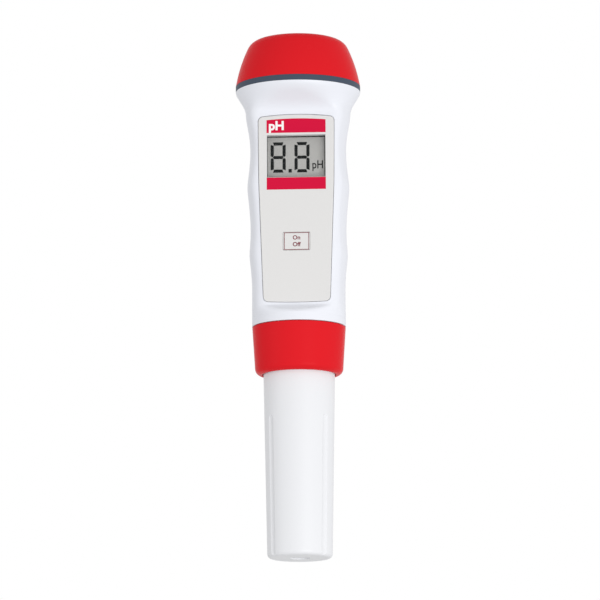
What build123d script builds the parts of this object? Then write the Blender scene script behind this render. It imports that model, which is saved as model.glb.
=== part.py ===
from build123d import *
import math
import os

# A pocket pH meter that stands upright on the flat end of its protective cap.
# Millimetres, +Z up along the pen's axis, the origin at the middle of that flat end,
# and the display panel facing -Y.

# Heights of the outer pieces, from the bottom up
cap_visible_length = 56.2
collar_length = 14.7
collar_gap = 0.15
lower_waist_rise = 11.35
lower_swell_rise = 11.0
middle_waist_rise = 7.0
upper_swell_rise = 14.0
upper_waist_rise = 11.2
flare_foot_rise = 11.2
flange_rise = 7.45
gasket_thickness = 1.7
gasket_gap = 0.05
gasket_width = 2.6
top_cap_height = 15.3

# Housing outline
neck_radius = 14.33
lower_waist_half_width = 14.27
lower_swell_half_width = 15.03
middle_waist_half_width = 14.67
upper_swell_half_width = 15.62
upper_waist_half_width = 14.69
flare_foot_half_width = 16.05
flange_radius = 19.15
crest_sharpness = 0.75
front_depth = 10.4
back_flatness = 0.4
loft_run_out = 2.0
upper_front_corner_radius = 2.8
lower_front_corner_radius = 4.2
side_arc_radius = 24.0
front_ramp_length = 3.7
front_flare_length = 8.9

# Housing inside
core_half_width = 12.7
core_back_depth = 12.2
core_front_corner_radius = 2.6
core_back_corner_radius = 11.2
panel_floor_wall = 1.4
deck_drop = 3.2
mouth_wall = 1.5
mouth_height = 5.8
spigot_radius = 12.0
spigot_length = 8.8
spigot_bore_radius = 10.0

# Front panel, window and key
panel_top_drop = 9.75
panel_length = 57.1
panel_top_half_width = 11.6
panel_knee_drop = 20.0
panel_knee_half_width = 11.45
panel_bottom_half_width = 10.15
panel_corner_radius = 1.5
panel_top_bow = 0.8
panel_bottom_bow = 0.3
panel_thickness = 1.0
panel_proud = 0.2
panel_edge_radius = 0.25
panel_gap = 0.15
window_drop = 5.57
window_width = 17.9
window_height = 13.2
window_rim = 0.2
lens_overlap = 1.1
lens_thickness = 0.9
lens_gap = 0.05
key_drop = 35.88
key_width = 8.1
key_height = 5.5
key_thickness = 0.6
key_corner_radius = 0.4
key_gap = 0.1
key_travel = 0.35
key_stem_radius = 1.5
key_hole_clearance = 0.3

# Display
glass_gap = 0.1
glass_margin = 0.85
glass_thickness = 1.6
frame_wall = 0.7
frame_fit = 0.1
strip_width = 1.6
strip_length = 17.0
strip_height = 1.4

# Board and what it carries
board_half_width = 11.0
board_thickness = 1.0
board_top_rise = 2.0
board_corner_radius = 1.5
switch_side = 6.0
switch_height = 2.4
plunger_radius = 1.6
plunger_clearance = 0.1
plunger_depth = 1.0
chip_height = 1.2
chip_gap = 0.05
chip_edge = 0.3
controller_side = 10.0
controller_drop = 39.0
amplifier_width = 5.0
amplifier_length = 6.0
amplifier_drop = 50.0
trimmer_side = 4.4
trimmer_height = 6.5
trimmer_offset = 9.4
trimmer_top_drop = 11.2
rotor_radius = 1.4
rotor_height = 1.9
rotor_slot_width = 0.5
rotor_slot_depth = 0.6
rotor_seat_depth = 0.95
rotor_hole_clearance = 0.55
rotor_gap = 0.05
screw_radius = 1.0
screw_head_radius = 1.9
screw_head_height = 1.2
screw_length = 4.0
screw_offset = 8.2
screw_rise = 6.0
screw_recess_width = 0.6
screw_recess_depth = 0.6

# Chassis, battery tray and cells
cell_radius = 5.8
cell_thickness = 5.4
cell_count = 4
cell_gap = 0.15
cell_rim_height = 0.7
cell_step = 0.6
cell_edge_radius = 0.3
tray_wall = 0.8
tray_floor = 1.2
tray_clearance = 0.2
tray_opening_width = 9.0
tray_tab_height = 2.6
tray_tab_width = 6.0
well_wall = 0.8
well_offset = 4.0
deck_thickness = 1.6
deck_clearance = 0.2
spine_half_width = 9.5
spine_thickness = 1.5
spine_setback = 2.9
boss_radius = 2.2
foot_thickness = 1.6
leaf_thickness = 0.3
leaf_width = 4.0
leaf_spring_rise = 1.0
leaf_end_setback = 1.0
leaf_hole_radius = 1.0

# Connector and electrode
connector_radius = 9.8
connector_height = 4.0
connector_gap = 0.4
pin_radius = 0.5
pin_circle_radius = 5.0
pin_count = 4
pin_reach = 3.0
pin_clearance = 0.3
collar_bottom_radius = 13.35
collar_top_radius = 14.28
collar_edge_radius = 1.95
collar_top_edge = 0.3
collar_lip_height = 3.8
collar_mouth_radius = 11.3
collar_clearance = 0.3
flange_thickness = 2.0
flange_clearance = 0.1
head_clearance = 0.3
head_top_gap = 0.4
shoulder_radius = 9.1
shoulder_length = 10.0
barrel_radius = 7.5
barrel_wall = 1.2
barrel_end_thickness = 1.8
guard_length = 9.0
guard_wall = 1.3
guard_slot_width = 5.5
guard_tip_height = 12.6
ring_section_radius = 0.75
ring_clearance = 0.1
glass_stem_radius = 2.3
glass_wall = 0.5
bulb_radius = 3.5
bulb_drop = 2.9
glass_fit = 0.05
wire_radius = 0.4
reference_wire_radius = 0.35
reference_wire_offset = 4.2
reference_wire_lift = 10.0
junction_radius = 0.7
probe_radius = 0.8
probe_length = 9.0
probe_reach = 6.0
probe_tip_radius = 0.7
tip_circle_radius = 4.9

# Protective cap
cap_bottom_radius = 9.92
cap_draft_angle = 1.0
cap_wall = 1.5
cap_floor = 1.8
cap_edge_radius = 1.3
cap_collar_reach = 3.0
cap_mouth_wall = 1.3
cap_mouth_depth = 10.0
flute_radius = 1.8
flute_depth = 0.45
flute_top_height = 42.0
flute_angle = 51.0
gate_mark_radius = 3.0
gate_mark_depth = 0.35
sponge_height = 5.2
sponge_clearance = 0.3

# Top cap
top_cap_corner_radius = 14.4
top_cap_crown = 1.4
top_cap_side_bulge = 0.55
top_cap_shoulder_radius = 4.6
top_cap_clearance = 0.2
top_cap_roof = 2.4
top_cap_inner_radius = 13.4

# Room past a surface for a cut that goes right through it
cut_margin = 1.0

# Heights and depths that follow from the sizes above
collar_bottom = cap_visible_length
collar_top = collar_bottom + collar_length
housing_bottom = collar_top + collar_gap
lower_waist = housing_bottom + lower_waist_rise
lower_swell = lower_waist + lower_swell_rise
middle_waist = lower_swell + middle_waist_rise
upper_swell = middle_waist + upper_swell_rise
upper_waist = upper_swell + upper_waist_rise
flare_foot = upper_waist + flare_foot_rise
flange_top = flare_foot + flange_rise
gasket_bottom = flange_top + gasket_gap
top_cap_bottom = gasket_bottom + gasket_thickness + gasket_gap
mouth_outer_radius = flange_radius - gasket_width - top_cap_clearance
mouth_radius = mouth_outer_radius - mouth_wall
mouth_top = flange_top + mouth_height
deck_bottom = flange_top - deck_drop
spigot_bottom = housing_bottom - spigot_length

panel_top = flange_top - panel_top_drop
panel_bottom = panel_top - panel_length
panel_back = -front_depth - panel_proud + panel_thickness
flat_bottom = panel_bottom - panel_bottom_bow - panel_gap
core_floor = flat_bottom
core_front = panel_back + panel_floor_wall
window_top = panel_top - window_drop
window_middle = window_top - window_height / 2
key_middle = panel_top - key_drop - key_height / 2
key_front = panel_back - panel_thickness

glass_front = core_front + glass_gap
board_front = glass_front + glass_thickness + strip_height
board_back = board_front + board_thickness
board_top = window_top + board_top_rise
spine_front = board_back + spine_setback

connector_bottom = housing_bottom + connector_gap + head_top_gap
connector_top = connector_bottom + connector_height
foot_top = connector_top + foot_thickness
foot_radius = -core_front - deck_clearance
board_bottom = foot_top

tray_radius = cell_radius + cell_gap + tray_wall
well_radius = tray_radius + tray_clearance
tray_bottom = deck_bottom - cell_count * cell_thickness
tray_base = tray_bottom - leaf_spring_rise - tray_floor
well_floor = tray_base - tray_clearance - well_wall

lip_top = collar_bottom + collar_lip_height
flange_bottom = lip_top
sensor_flange_radius = spigot_radius
head_bottom = flange_bottom + flange_thickness
head_radius = spigot_bore_radius - head_clearance
head_top = connector_bottom - head_top_gap
chamber_top = (head_bottom + head_top) / 2
upper_ring_height = chamber_top
shoulder_bottom = flange_bottom - shoulder_length
barrel_bottom = guard_tip_height + guard_length
chamber_radius = barrel_radius - barrel_wall
bulb_middle = barrel_bottom - bulb_drop

cap_slope = math.tan(math.radians(cap_draft_angle))
cap_top = collar_bottom + cap_collar_reach
cap_top_radius = cap_bottom_radius + cap_top * cap_slope
cap_mouth_radius = cap_top_radius - cap_mouth_wall
ring_height = cap_top - cap_mouth_depth / 2


def round_solid(points):
    # A solid turned about the pen's axis from its half outline of (radius, height) corners
    outline = Plane.XZ * make_face(Polyline(*points, close=True))
    return revolve(outline, Axis.Z)


def disc(radius, bottom, top, x=0.0, y=0.0):
    return Pos(x, y, bottom) * Cylinder(radius, top - bottom, align=(Align.CENTER, Align.CENTER, Align.MIN))


def block(x_size, front, back, bottom, top, x=0.0):
    # A box given by its width about x, its front and back faces and its heights
    middle = Pos(x, (front + back) / 2, (bottom + top) / 2)
    return middle * Box(x_size, abs(back - front), top - bottom)


def front_plate(outline, front, back):
    # A sketch drawn as seen from the front, with the height as its second axis, made a plate
    front_plane = Plane(origin=(0, front, 0), x_dir=(1, 0, 0), z_dir=(0, -1, 0))
    return extrude(front_plane * outline, amount=-(back - front))


def ease(share):
    return 0.5 - 0.5 * math.cos(math.pi * min(max(share, 0.0), 1.0))


def smooth(share):
    # A step from 0 to 1 that starts and ends straight
    clamped = min(max(share, 0.0), 1.0)
    return clamped ** 3 * (10 - 15 * clamped + 6 * clamped ** 2)


def mixed(first, second, share):
    return first + (second - first) * share


def wave(height, low, low_width, high, high_width):
    # Half a wave between two heights, narrower at its wide end than at its narrow one
    share = (height - low) / (high - low)
    if low_width > high_width:
        return mixed(low_width, high_width, ease(share ** crest_sharpness))
    return mixed(high_width, low_width, ease((1 - share) ** crest_sharpness))


def side_half_width(height):
    # Half the width of the housing at a height: swells and waists joined by smooth waves
    stops = [
        (housing_bottom, neck_radius),
        (lower_waist, lower_waist_half_width),
        (lower_swell, lower_swell_half_width),
        (middle_waist, middle_waist_half_width),
        (upper_swell, upper_swell_half_width),
        (upper_waist, upper_waist_half_width),
        (flare_foot, flare_foot_half_width),
        (flange_top, flange_radius),
    ]
    if height <= housing_bottom:
        return neck_radius
    for (low, low_width), (high, high_width) in zip(stops, stops[1:]):
        if height <= high:
            return wave(height, low, low_width, high, high_width)
    return flange_radius


def roundness(height):
    # 1 where the housing is round, at both of its ends, and 0 along the flat front
    lower = smooth((flat_bottom - height) / front_ramp_length)
    upper = smooth((height - (flange_top - front_flare_length)) / front_flare_length)
    return max(lower, upper)


def polar(x, y, radius, angle):
    # The point on a circle about (x, y) at an angle from +X towards -Y
    return (x + radius * math.cos(angle), y - radius * math.sin(angle))


def mirrored(points):
    return [(-x, y) for x, y in points]


def closed_outline(right_arcs, front_end, back_end):
    # A plan outline from the arcs of its right side, with straight ends at the front and back
    edges = [Line((-front_end[0], front_end[1]), front_end)]
    edges.append(Line((-back_end[0], back_end[1]), back_end))
    for arc in right_arcs:
        edges.append(ThreePointArc(*arc))
        edges.append(ThreePointArc(*mirrored(arc)))
    return edges


def housing_section(height):
    # One cross-section: a flat front, rounded front corners, bulging sides and a round back
    least_flat = 0.05
    half_width = side_half_width(height)
    share = roundness(height)
    rise = (height - flat_bottom) / (upper_swell - flat_bottom)
    flat_corner = mixed(lower_front_corner_radius, upper_front_corner_radius, ease(rise))
    corner = mixed(flat_corner, half_width - least_flat, share)
    depth = mixed(front_depth, half_width, share)
    side_radius = mixed(side_arc_radius, half_width + least_flat, share)
    back_flat = mixed(back_flatness, least_flat, share)
    back_radius = half_width - back_flat
    side_x = half_width - side_radius
    corner_y = corner - depth
    corner_x = side_x + math.sqrt((side_radius - corner) ** 2 - corner_y ** 2)
    lean = math.asin(-corner_y / (side_radius - corner))
    front_end = (corner_x, -depth)
    contact = polar(corner_x, corner_y, corner, lean)
    side_end = (half_width, 0)
    back_end = (back_flat, back_radius)
    arcs = [
        [front_end, polar(corner_x, corner_y, corner, (lean + math.pi / 2) / 2), contact],
        [contact, polar(side_x, 0, side_radius, lean / 2), side_end],
        [side_end, polar(back_flat, 0, back_radius, -math.pi / 4), back_end],
    ]
    return Pos(0, 0, height) * make_face(closed_outline(arcs, front_end, back_end))


def core_outline():
    # Plan outline of the hollow, with its own radius on the front and the back corners
    front_x = core_half_width - core_front_corner_radius
    front_y = core_front + core_front_corner_radius
    back_x = core_half_width - core_back_corner_radius
    back_y = core_back_depth - core_back_corner_radius
    front_end = (front_x, core_front)
    back_end = (back_x, core_back_depth)
    side_front = (core_half_width, front_y)
    side_back = (core_half_width, back_y)
    arcs = [
        [front_end, polar(front_x, front_y, core_front_corner_radius, math.pi / 4), side_front],
        [side_back, polar(back_x, back_y, core_back_corner_radius, -math.pi / 4), back_end],
    ]
    sides = [Line(side_front, side_back), Line(*mirrored([side_front, side_back]))]
    return make_face(closed_outline(arcs, front_end, back_end) + sides)


def steps(low, high, count):
    # Evenly spaced heights from low up to, and without, high
    return [low + (high - low) * index / count for index in range(count)]


def housing_form():
    # Lofted a little past both ends and cut off square there
    ramp_foot = flat_bottom - front_ramp_length
    flare_start = flange_top - front_flare_length
    runs = [
        (housing_bottom, ramp_foot, 2),
        (ramp_foot, flat_bottom, 7),
        (flat_bottom, lower_swell, 5),
        (lower_swell, middle_waist, 3),
        (middle_waist, upper_swell, 5),
        (upper_swell, upper_waist, 4),
        (upper_waist, flare_start, 4),
        (flare_start, flange_top, 8),
        (flange_top, flange_top + loft_run_out, 2),
    ]
    heights = [housing_bottom - loft_run_out]
    for low, high, count in runs:
        heights += steps(low, high, count)
    heights.append(flange_top + loft_run_out)
    form = loft([housing_section(height) for height in heights])
    return form & disc(flange_radius + cut_margin, housing_bottom, flange_top)


def panel_outline(grow=0.0):
    # Outline of the front panel as seen from the front, or of its recess when grown
    knee = panel_top - panel_knee_drop
    right_side = [
        (panel_top_half_width, panel_top),
        (panel_knee_half_width, knee),
        (panel_bottom_half_width, panel_bottom),
    ]
    left_side = mirrored(right_side)
    edges = [
        Polyline(*right_side),
        Polyline(*left_side),
        ThreePointArc(left_side[0], (0, panel_top + panel_top_bow), right_side[0]),
        ThreePointArc(left_side[2], (0, panel_bottom - panel_bottom_bow), right_side[2]),
    ]
    outline = make_face(edges)
    corners = [v for v in outline.vertices() if not math.isclose(v.Y, knee, abs_tol=0.01)]
    outline = fillet(corners, panel_corner_radius)
    if grow:
        outline = offset(outline, amount=grow, kind=Kind.ARC)
    return outline


def window_outline(grow=0.0):
    return Pos(0, window_middle) * Rectangle(window_width + 2 * grow, window_height + 2 * grow)


def key_outline(grow=0.0):
    plate = Rectangle(key_width + 2 * grow, key_height + 2 * grow)
    return Pos(0, key_middle) * fillet(plate.vertices(), key_corner_radius)


def make_housing():
    outside = -flange_radius - cut_margin
    body = housing_form()
    body += disc(mouth_outer_radius, flange_top, mouth_top)
    body += disc(spigot_radius, spigot_bottom, housing_bottom)
    body -= extrude(Pos(0, 0, core_floor) * core_outline(), amount=deck_bottom - core_floor)
    body -= disc(mouth_radius, deck_bottom, mouth_top)
    body -= disc(spigot_bore_radius, spigot_bottom, core_floor)
    body -= front_plate(panel_outline(panel_gap), outside, panel_back)
    body -= front_plate(window_outline(lens_overlap), panel_back, panel_back + lens_thickness + lens_gap)
    body -= front_plate(window_outline(window_rim), panel_back, core_front)
    hole = Pos(0, key_middle) * Circle(key_stem_radius + key_hole_clearance)
    body -= front_plate(hole, panel_back, core_front)
    return body


def make_front_panel():
    front = panel_back - panel_thickness
    panel = front_plate(panel_outline(), front, panel_back)
    rim = panel.faces().sort_by(Axis.Y)[0].outer_wire().edges()
    panel = fillet(rim, panel_edge_radius)
    panel -= front_plate(window_outline(), front, panel_back)
    panel -= front_plate(key_outline(key_gap), front, panel_back)
    return panel


def make_window_lens():
    outline = window_outline(lens_overlap - lens_gap)
    front = panel_back + lens_gap / 2
    return front_plate(outline, front, front + lens_thickness)


def make_on_off_key():
    plate = front_plate(key_outline(), key_front, key_front + key_thickness)
    stem = Pos(0, key_middle) * Circle(key_stem_radius)
    return plate + front_plate(stem, key_front + key_thickness, core_front + glass_gap)


def glass_outline(grow=0.0):
    return window_outline(glass_margin + grow)


def make_display_glass():
    return front_plate(glass_outline(), glass_front, glass_front + glass_thickness)


def make_display_frame():
    frame = front_plate(glass_outline(frame_fit + frame_wall), glass_front, board_front)
    return frame - front_plate(glass_outline(frame_fit), glass_front, board_front)


def make_contact_strips():
    reach = window_height / 2 + glass_margin - strip_width / 2
    strips = []
    for side in (1, -1):
        middle = window_middle + side * reach
        low = middle - strip_width / 2
        strips.append(block(strip_length, board_front - strip_height, board_front, low, low + strip_width))
    return Compound(children=strips)


def screw_places():
    return [(side * screw_offset, board_bottom + screw_rise) for side in (1, -1)]


def make_main_board():
    middle = (board_bottom + board_top) / 2
    outline = Pos(0, middle) * Rectangle(2 * board_half_width, board_top - board_bottom)
    outline = fillet(outline.vertices(), board_corner_radius)
    for x, height in screw_places():
        outline -= Pos(x, height) * Circle(screw_radius + frame_fit)
    return front_plate(outline, board_front, board_back)


def make_tact_switch():
    body = block(switch_side, board_front - switch_height, board_front,
                 key_middle - switch_side / 2, key_middle + switch_side / 2)
    pocket = Pos(0, key_middle) * Circle(plunger_radius + plunger_clearance)
    depth = plunger_depth + key_travel + plunger_clearance
    return body - front_plate(pocket, board_front - switch_height, board_front - switch_height + depth)


def make_tact_plunger():
    outline = Pos(0, key_middle) * Circle(plunger_radius)
    return front_plate(outline, core_front + glass_gap, board_front - switch_height + plunger_depth)


def make_chip(width, length, drop):
    middle = panel_top - drop
    front = board_back + chip_gap
    chip = block(width, front, front + chip_height, middle - length / 2, middle + length / 2)
    marked_edges = chip.edges().filter_by(Axis.Y)
    return chamfer(marked_edges, chip_edge)


def trimmer_depth():
    return board_back + trimmer_side / 2


def make_trimmer_body():
    top = flange_top - trimmer_top_drop
    body = block(trimmer_side, board_back, board_back + trimmer_side,
                 top - trimmer_height, top, x=trimmer_offset)
    pocket = disc(rotor_radius + rotor_gap, top - rotor_seat_depth, top, trimmer_offset, trimmer_depth())
    return body - pocket


def make_trimmer_rotor():
    top = flange_top - trimmer_top_drop
    bottom = top - rotor_seat_depth + rotor_gap
    rotor = disc(rotor_radius, bottom, bottom + rotor_height, trimmer_offset, trimmer_depth())
    slot_bottom = bottom + rotor_height - rotor_slot_depth
    slot = block(2 * rotor_radius, trimmer_depth() - rotor_slot_width / 2,
                 trimmer_depth() + rotor_slot_width / 2, slot_bottom, bottom + rotor_height,
                 x=trimmer_offset)
    return rotor - slot


def make_board_screws():
    screws = []
    for x, height in screw_places():
        head = Pos(x, height) * Circle(screw_head_radius)
        shank = Pos(x, height) * Circle(screw_radius)
        screw = front_plate(head, board_front - screw_head_height, board_front)
        screw += front_plate(shank, board_front, board_front + screw_length)
        for turn in (0, 90):
            bar = Pos(x, height) * Rot(0, 0, turn) * Rectangle(2 * screw_radius, screw_recess_width)
            recess_front = board_front - screw_head_height
            screw -= front_plate(bar, recess_front, recess_front + screw_recess_depth)
        screws.append(screw)
    return Compound(children=screws)


def make_inner_chassis():
    spine_back = spine_front + spine_thickness
    chassis = disc(mouth_radius - deck_clearance, deck_bottom, deck_bottom + deck_thickness)
    chassis += disc(well_radius + well_wall, well_floor, deck_bottom, y=well_offset)
    chassis += block(2 * spine_half_width, spine_front, spine_back, foot_top, tray_bottom)
    chassis += disc(foot_radius, connector_top, foot_top)
    for x, height in screw_places():
        boss = Pos(x, height) * Circle(boss_radius)
        chassis += front_plate(boss, board_back, spine_front)
    for x, height in screw_places():
        hole = Pos(x, height) * Circle(screw_radius)
        chassis -= front_plate(hole, board_back, board_front + screw_length)
    chassis -= disc(well_radius, well_floor + well_wall, deck_bottom + deck_thickness, y=well_offset)
    chassis -= disc(rotor_radius + rotor_hole_clearance, deck_bottom, deck_bottom + deck_thickness,
                    trimmer_offset, trimmer_depth())
    return chassis


def make_battery_tray():
    top = deck_bottom + deck_thickness
    tray = disc(tray_radius, tray_base, top, y=well_offset)
    tray -= disc(cell_radius + cell_gap, tray_bottom - leaf_spring_rise, top, y=well_offset)
    opening = block(tray_opening_width, well_offset, well_offset + 2 * tray_radius,
                    tray_bottom - leaf_spring_rise + tray_floor, deck_bottom - tray_floor)
    tray -= opening
    tab = block(tray_tab_width, well_offset - tray_radius, well_offset - cell_radius - cell_gap,
                top, top + tray_tab_height)
    keep = disc(tray_radius, top, top + tray_tab_height, y=well_offset)
    hollow = disc(cell_radius + cell_gap, top, top + tray_tab_height, y=well_offset)
    return tray + ((tab & keep) - hollow)


def make_battery_cell(index):
    bottom = tray_bottom + index * cell_thickness
    can = disc(cell_radius, bottom + cell_rim_height, bottom + cell_thickness, y=well_offset)
    can = fillet(can.edges().sort_by(Axis.Z)[-1], cell_edge_radius)
    return can + disc(cell_radius - cell_step, bottom, bottom + cell_rim_height, y=well_offset)


def make_lower_contact_leaf():
    # A bowed strip under the stack of cells
    bottom = tray_bottom - leaf_spring_rise
    reach = cell_radius - leaf_end_setback
    middle = (0, tray_bottom - leaf_thickness)
    bow = ThreePointArc((-reach, bottom), middle, (reach, bottom))
    top = bottom + leaf_thickness
    upper = ThreePointArc((-reach, top), (0, tray_bottom), (reach, top))
    ends = [Line((-reach, bottom), (-reach, top)), Line((reach, bottom), (reach, top))]
    strip = Plane.XZ * make_face([bow, upper] + ends)
    return Pos(0, well_offset + leaf_width / 2, 0) * extrude(strip, amount=leaf_width)


def make_upper_contact_leaf():
    stack_top = tray_bottom + cell_count * cell_thickness
    plate = disc(cell_radius - leaf_end_setback, stack_top, stack_top + leaf_thickness, y=well_offset)
    return plate - disc(leaf_hole_radius, stack_top, stack_top + leaf_thickness, y=well_offset)


def pin_places():
    turn = 360 / pin_count
    return [
        (pin_circle_radius * math.cos(math.radians(turn * (index + 0.5))),
         pin_circle_radius * math.sin(math.radians(turn * (index + 0.5))))
        for index in range(pin_count)
    ]


def make_connector_block():
    connector = disc(connector_radius, connector_bottom, connector_top)
    for x, y in pin_places():
        connector -= disc(pin_radius + pin_clearance, connector_bottom,
                          connector_bottom + pin_reach + pin_clearance, x, y)
    return connector


def make_contact_pins():
    return Compound(children=[
        disc(pin_radius, head_top, connector_bottom + pin_reach, x, y) for x, y in pin_places()
    ])


def make_sensor_body():
    groove_half = ring_section_radius + ring_clearance
    upper_groove = head_radius + ring_clearance - 2 * ring_section_radius
    lower_groove = shoulder_radius + ring_clearance - 2 * ring_section_radius
    body = round_solid([
        (chamber_radius, barrel_bottom + barrel_end_thickness),
        (0, barrel_bottom + barrel_end_thickness),
        (0, barrel_bottom),
        (barrel_radius, barrel_bottom),
        (barrel_radius, shoulder_bottom),
        (shoulder_radius, shoulder_bottom),
        (shoulder_radius, ring_height - groove_half),
        (lower_groove, ring_height - groove_half),
        (lower_groove, ring_height + groove_half),
        (shoulder_radius, ring_height + groove_half),
        (shoulder_radius, flange_bottom),
        (sensor_flange_radius, flange_bottom),
        (sensor_flange_radius, head_bottom - flange_clearance),
        (head_radius, head_bottom - flange_clearance),
        (head_radius, upper_ring_height - groove_half),
        (upper_groove, upper_ring_height - groove_half),
        (upper_groove, upper_ring_height + groove_half),
        (head_radius, upper_ring_height + groove_half),
        (head_radius, head_top),
        (0, head_top),
        (0, chamber_top),
        (chamber_radius, chamber_top),
    ])
    guard = disc(barrel_radius, guard_tip_height, barrel_bottom)
    guard -= disc(barrel_radius - guard_wall, guard_tip_height, barrel_bottom)
    for turn in (0, 90):
        slot = Box(guard_slot_width, 2 * (barrel_radius + cut_margin), guard_length - guard_wall)
        slot_middle = guard_tip_height + (guard_length - guard_wall) / 2
        guard -= Pos(0, 0, slot_middle) * Rot(0, 0, turn + 45) * slot
    body += guard
    body -= disc(glass_stem_radius + glass_fit, barrel_bottom, barrel_bottom + barrel_end_thickness)
    body -= disc(junction_radius, barrel_bottom, barrel_bottom + barrel_end_thickness, x=tip_circle_radius)
    body -= disc(probe_radius, barrel_bottom, barrel_bottom + barrel_end_thickness, x=-tip_circle_radius)
    return body


def make_ring(groove_radius, height):
    centre = groove_radius + ring_section_radius
    section = Plane.XZ * (Pos(centre, height) * Circle(ring_section_radius))
    return revolve(section, Axis.Z)


def make_glass_electrode():
    # A glass tube blown out to a thin bulb at its lower end
    top = chamber_top
    inner = glass_stem_radius - glass_wall
    join = bulb_middle + math.sqrt(bulb_radius ** 2 - glass_stem_radius ** 2)
    inner_radius = bulb_radius - glass_wall
    inner_join = bulb_middle + math.sqrt(inner_radius ** 2 - inner ** 2)
    edges = [
        ThreePointArc((0, bulb_middle - bulb_radius), (bulb_radius, bulb_middle), (glass_stem_radius, join)),
        Line((glass_stem_radius, join), (glass_stem_radius, top)),
        Line((glass_stem_radius, top), (inner, top)),
        Line((inner, top), (inner, inner_join)),
        ThreePointArc((inner, inner_join), (inner_radius, bulb_middle), (0, bulb_middle - inner_radius)),
        Line((0, bulb_middle - inner_radius), (0, bulb_middle - bulb_radius)),
    ]
    return revolve(Plane.XZ * make_face(edges), Axis.Z)


def make_silver_wire():
    return disc(wire_radius, bulb_middle, chamber_top)


def make_reference_wire():
    bottom = barrel_bottom + barrel_end_thickness + reference_wire_lift
    return disc(reference_wire_radius, bottom, chamber_top, y=reference_wire_offset)


def make_reference_junction():
    return disc(junction_radius, barrel_bottom - glass_fit, barrel_bottom + barrel_end_thickness,
                x=tip_circle_radius)


def make_thermistor_pin():
    bottom = barrel_bottom + barrel_end_thickness - probe_reach
    pin = disc(probe_radius, bottom, bottom + probe_length, x=-tip_circle_radius)
    return fillet(pin.edges().sort_by(Axis.Z)[0], probe_tip_radius)


def make_lock_collar():
    inner = spigot_radius + collar_clearance
    edges = [
        Line((collar_mouth_radius, collar_bottom), (collar_bottom_radius, collar_bottom)),
        Line((collar_bottom_radius, collar_bottom), (collar_top_radius, collar_top)),
        Line((collar_top_radius, collar_top), (inner, collar_top)),
        Line((inner, collar_top), (inner, lip_top)),
        Line((inner, lip_top), (collar_mouth_radius, lip_top)),
        Line((collar_mouth_radius, lip_top), (collar_mouth_radius, collar_bottom)),
    ]
    outline = make_face(edges)
    low_corner = outline.vertices().filter_by(lambda v: v.Y < collar_bottom + 0.01).sort_by(Axis.X)[-1]
    outline = fillet(low_corner, collar_edge_radius)
    top_corner = outline.vertices().filter_by(lambda v: v.Y > collar_top - 0.01).sort_by(Axis.X)[-1]
    outline = fillet(top_corner, collar_top_edge)
    return revolve(Plane.XZ * outline, Axis.Z)


def cap_radius(height):
    return cap_bottom_radius + height * cap_slope


def make_protective_cap():
    outer = make_face(Polyline(
        (0, 0), (cap_bottom_radius, 0), (cap_top_radius, cap_top), (0, cap_top), close=True,
    ))
    low_corner = outer.vertices().filter_by(lambda v: v.Y < 0.01).sort_by(Axis.X)[-1]
    outer = fillet(low_corner, cap_edge_radius)
    cap = revolve(Plane.XZ * outer, Axis.Z)
    for angle in (flute_angle, -flute_angle, 180 - flute_angle, flute_angle - 180):
        cap -= Rot(0, 0, angle) * flute_cutter()
    mouth_floor = cap_top - cap_mouth_depth
    cap -= round_solid([
        (0, cap_floor),
        (cap_radius(cap_floor) - cap_wall, cap_floor),
        (cap_radius(mouth_floor) - cap_wall, mouth_floor),
        (cap_mouth_radius, mouth_floor),
        (cap_mouth_radius, cap_top),
        (0, cap_top),
    ])
    return cap - disc(gate_mark_radius, 0, gate_mark_depth)


def flute_cutter():
    # A long round-ended finger that lies along the drafted wall at the front
    reach = flute_radius - flute_depth
    finger = Cylinder(flute_radius, 2 * flute_top_height)
    finger += Pos(0, 0, flute_top_height) * Sphere(flute_radius)
    return Pos(0, -(cap_bottom_radius + reach), 0) * Rot(cap_draft_angle, 0, 0) * finger


def make_storage_sponge():
    radius = cap_radius(cap_floor) - cap_wall - sponge_clearance
    return disc(radius, cap_floor, cap_floor + sponge_height)


def make_cap_gasket():
    ring = disc(flange_radius, gasket_bottom, gasket_bottom + gasket_thickness)
    return ring - disc(mouth_outer_radius + top_cap_clearance, gasket_bottom,
                       gasket_bottom + gasket_thickness)


def make_top_cap():
    top = top_cap_bottom + top_cap_height
    corner_height = top - top_cap_crown
    side_middle = (flange_radius + top_cap_corner_radius) / 2 + top_cap_side_bulge
    side_middle_height = (top_cap_bottom + corner_height) / 2 + top_cap_side_bulge / 2
    edges = [Line((-flange_radius, top_cap_bottom), (flange_radius, top_cap_bottom))]
    for side in (1, -1):
        edges.append(ThreePointArc(
            (side * flange_radius, top_cap_bottom),
            (side * side_middle, side_middle_height),
            (side * top_cap_corner_radius, corner_height),
        ))
    edges.append(ThreePointArc(
        (-top_cap_corner_radius, corner_height), (0, top), (top_cap_corner_radius, corner_height)
    ))
    outline = make_face(edges)
    outline = fillet(outline.vertices().sort_by(Axis.Y)[-2:], top_cap_shoulder_radius)
    right_half = Pos(flange_radius / 2, (top_cap_bottom + top) / 2) * Rectangle(
        flange_radius, 2 * top_cap_height
    )
    cap = revolve(Plane.XZ * (outline & right_half), Axis.Z)
    roof = top - top_cap_roof
    step = mouth_top + top_cap_clearance
    cap -= disc(mouth_outer_radius + top_cap_clearance, top_cap_bottom, step)
    hollow = disc(top_cap_inner_radius, step, roof)
    hollow = fillet(hollow.edges().sort_by(Axis.Z)[-1], top_cap_roof)
    return cap - hollow


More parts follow.
